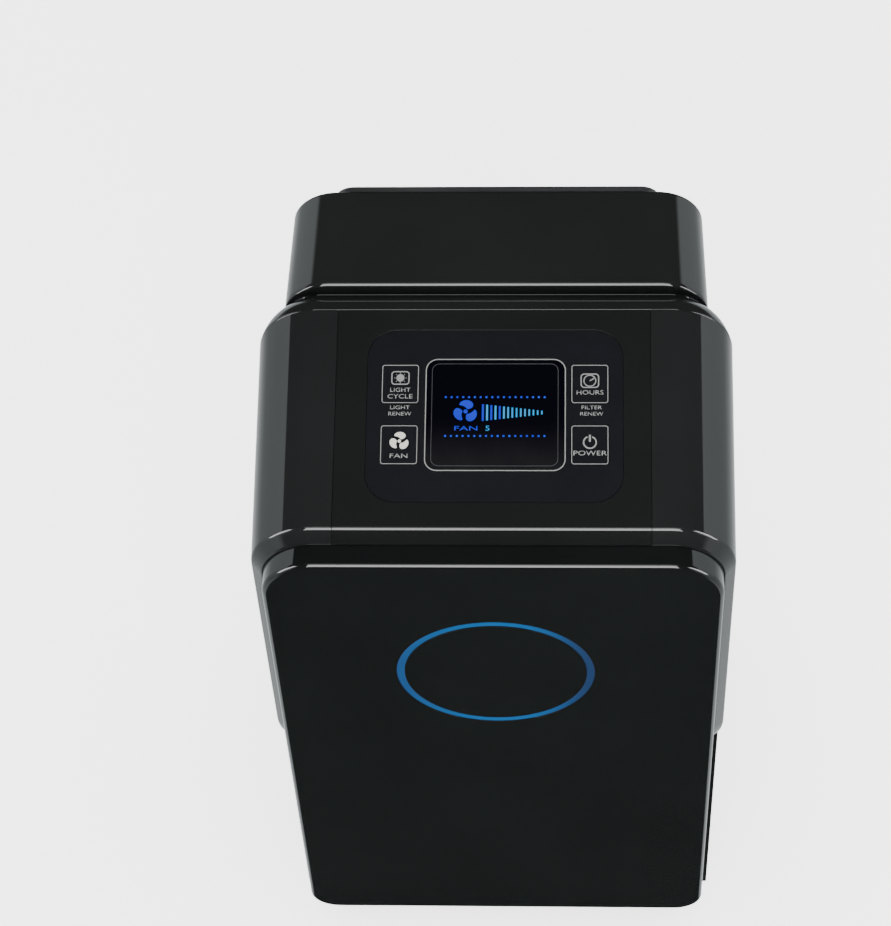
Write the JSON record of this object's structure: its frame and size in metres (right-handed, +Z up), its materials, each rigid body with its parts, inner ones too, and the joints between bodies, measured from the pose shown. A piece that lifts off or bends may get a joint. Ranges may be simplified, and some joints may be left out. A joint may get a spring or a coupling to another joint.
{
  "type": "air purifier",
  "caption": "Tall glossy black air purifier with a sloping control panel, a lift-off front door with a blue light ring, stacked filters and a rear blower.",
  "frame": {"origin": "on the floor, below the middle of the object's box", "axes": "+Z up, the door faces -Y, +X to the right seen from the front"},
  "size_m": [0.36, 0.323, 0.65],
  "materials": {
    "shell_black": "gloss",
    "panel_satin": "satin",
    "bay_plastic": "matte",
    "inner_plastic": "matte",
    "white_plastic": "satin",
    "overlay_print": "matte",
    "display_lens": "gloss",
    "lcd_glass": "gloss",
    "circuit_board": "satin",
    "screw_steel": "satin",
    "pin_metal": "polished",
    "inlet_plastic": "matte",
    "foot_rubber": "matte",
    "ring_blue": "satin",
    "mesh_fabric": "matte",
    "filter_media": "matte",
    "carbon_media": "matte",
    "lamp_glass": "gloss",
    "reflector_aluminium": "polished",
    "case_metal": "satin",
    "fan_plastic": "satin",
    "shaft_steel": "polished",
    "nut_brass": "satin"
  },
  "bodies": {
    "cabinet": {"head_collar": "shell_black", "control_insert": "shell_black", "control_overlay": "overlay_print", "display_window": "display_lens", "lcd_module": "lcd_glass", "lcd_holder": "inner_plastic", "control_board": "circuit_board", "tact_switches": "inner_plastic", "board_screws": "screw_steel", "rear_housing": "shell_black", "housing_screws": "screw_steel", "rear_panel": "panel_satin", "panel_screws": "screw_steel", "outlet_grille": "panel_satin", "hand_grip": "panel_satin", "mains_inlet": "inlet_plastic", "mains_pins": "pin_metal", "power_board": "circuit_board", "front_housing": "shell_black", "filter_bay": "bay_plastic", "catch_plates": "screw_steel", "interlock_switch": "inner_plastic", "fan_bulkhead": "bay_plastic", "base_plinth": "panel_satin", "rubber_feet": "foot_rubber", "uv_lamp_left": "lamp_glass", "uv_lamp_right": "lamp_glass", "lamp_reflector_left": "reflector_aluminium", "lamp_reflector_right": "reflector_aluminium", "lamp_holders": "white_plastic", "uv_ballast": "case_metal", "scroll_housing": "bay_plastic", "scroll_cover": "bay_plastic", "motor_case": "case_metal", "motor_bracket": "case_metal", "motor_grommets": "foot_rubber", "motor_screws": "screw_steel"},
    "door": {"front_door": "shell_black", "ring_light_guide": "ring_blue", "ring_led_board": "circuit_board", "door_magnets": "screw_steel"},
    "prefilter": {"prefilter_frame": "bay_plastic", "prefilter_mesh": "mesh_fabric"},
    "hepa_filter": {"hepa_frame": "white_plastic", "hepa_pleats": "filter_media", "hepa_gasket": "foot_rubber"},
    "carbon_filter": {"carbon_frame": "bay_plastic", "carbon_block": "carbon_media"},
    "interlock_pin": {"interlock_plunger": "white_plastic"},
    "fan_rotor": {"impeller": "fan_plastic", "motor_shaft": "shaft_steel", "impeller_nut": "nut_brass"},
    "uv_mode_key": {"uv_mode_key": "overlay_print"},
    "speed_key": {"speed_key": "overlay_print"},
    "timer_key": {"timer_key": "overlay_print"},
    "power_key": {"power_key": "overlay_print"}
  },
  "joints": [
    {"name": "door_pull", "type": "slide", "parent": "cabinet", "child": "door", "axis": [0, -1, 0], "range_m": [0, 0.3]},
    {"name": "prefilter_pull", "type": "slide", "parent": "cabinet", "child": "prefilter", "axis": [0, -1, 0], "range_m": [0, 0.2]},
    {"name": "hepa_pull", "type": "slide", "parent": "cabinet", "child": "hepa_filter", "axis": [0, -1, 0], "range_m": [0, 0.14]},
    {"name": "carbon_pull", "type": "slide", "parent": "cabinet", "child": "carbon_filter", "axis": [0, -1, 0], "range_m": [0, 0.1]},
    {"name": "interlock_pin_slide", "type": "slide", "parent": "cabinet", "child": "interlock_pin", "axis": [0, -1, 0], "range_m": [0, 0.003]},
    {"name": "fan_spin", "type": "hinge", "parent": "cabinet", "child": "fan_rotor", "pos_m": [0.011, 0.078, 0.292], "axis": [0, 1, 0], "continuous": true},
    {"name": "uv_mode_press", "type": "slide", "parent": "cabinet", "child": "uv_mode_key", "axis": [0, 0.2181, -0.9759], "range_m": [0, 0.0005], "stiffness_N_per_m": 1200, "springref_m": -0.0005},
    {"name": "speed_press", "type": "slide", "parent": "cabinet", "child": "speed_key", "axis": [0, 0.2181, -0.9759], "range_m": [0, 0.0005], "stiffness_N_per_m": 1200, "springref_m": -0.0005},
    {"name": "timer_press", "type": "slide", "parent": "cabinet", "child": "timer_key", "axis": [0, 0.2181, -0.9759], "range_m": [0, 0.0005], "stiffness_N_per_m": 1200, "springref_m": -0.0005},
    {"name": "power_press", "type": "slide", "parent": "cabinet", "child": "power_key", "axis": [0, 0.2181, -0.9759], "range_m": [0, 0.0005], "stiffness_N_per_m": 1200, "springref_m": -0.0005}
  ],
  "couplings": [
    {"joint": "prefilter_pull", "follows": "door_pull", "ratio": 0.66667},
    {"joint": "hepa_pull", "follows": "door_pull", "ratio": 0.46667},
    {"joint": "carbon_pull", "follows": "door_pull", "ratio": 0.33333},
    {"joint": "interlock_pin_slide", "follows": "door_pull", "ratio": 0.01}
  ]
}
